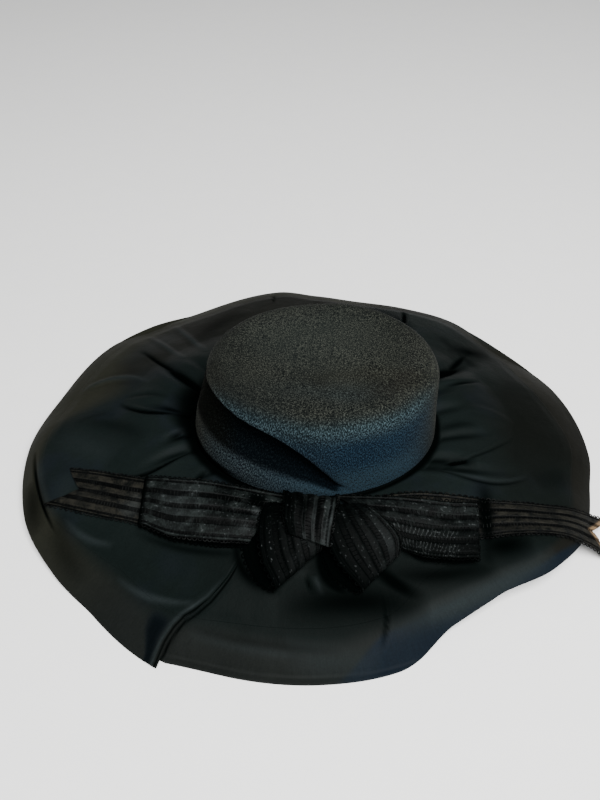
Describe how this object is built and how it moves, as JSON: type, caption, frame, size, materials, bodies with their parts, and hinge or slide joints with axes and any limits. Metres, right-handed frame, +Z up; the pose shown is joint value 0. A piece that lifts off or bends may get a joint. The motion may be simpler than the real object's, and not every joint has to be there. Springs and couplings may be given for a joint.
{
  "type": "wide-brim hat",
  "caption": "Wide-brimmed cloth hat with a soft flat-topped crown, a gathered floppy brim with a hem band, and a striped picot-edged ribbon bow.",
  "frame": {"origin": "On the floor under the middle of the hat's bounding box", "axes": "+Z up out of the crown; +X along the crown's long axis, towards the ribbon end that passes over the brim; -Y towards the bow"},
  "size_m": [0.4891, 0.4365, 0.118],
  "materials": {
    "crown_cloth": "heathered matt weave",
    "brim_cloth": "fine silk with a soft sheen",
    "hem_cloth": "doubled fine silk with a soft sheen",
    "ribbon": "satin ribs between matt open stripes"
  },
  "bodies": {
    "root": {"crown": "crown_cloth", "brim": "brim_cloth", "brim_hem": "hem_cloth", "bow_knot": "ribbon", "loop_left": "ribbon", "loop_right": "ribbon", "loop_front_left": "ribbon", "loop_front_right": "ribbon", "tail_left": "ribbon", "tail_right": "ribbon"}
  },
  "joints": []
}
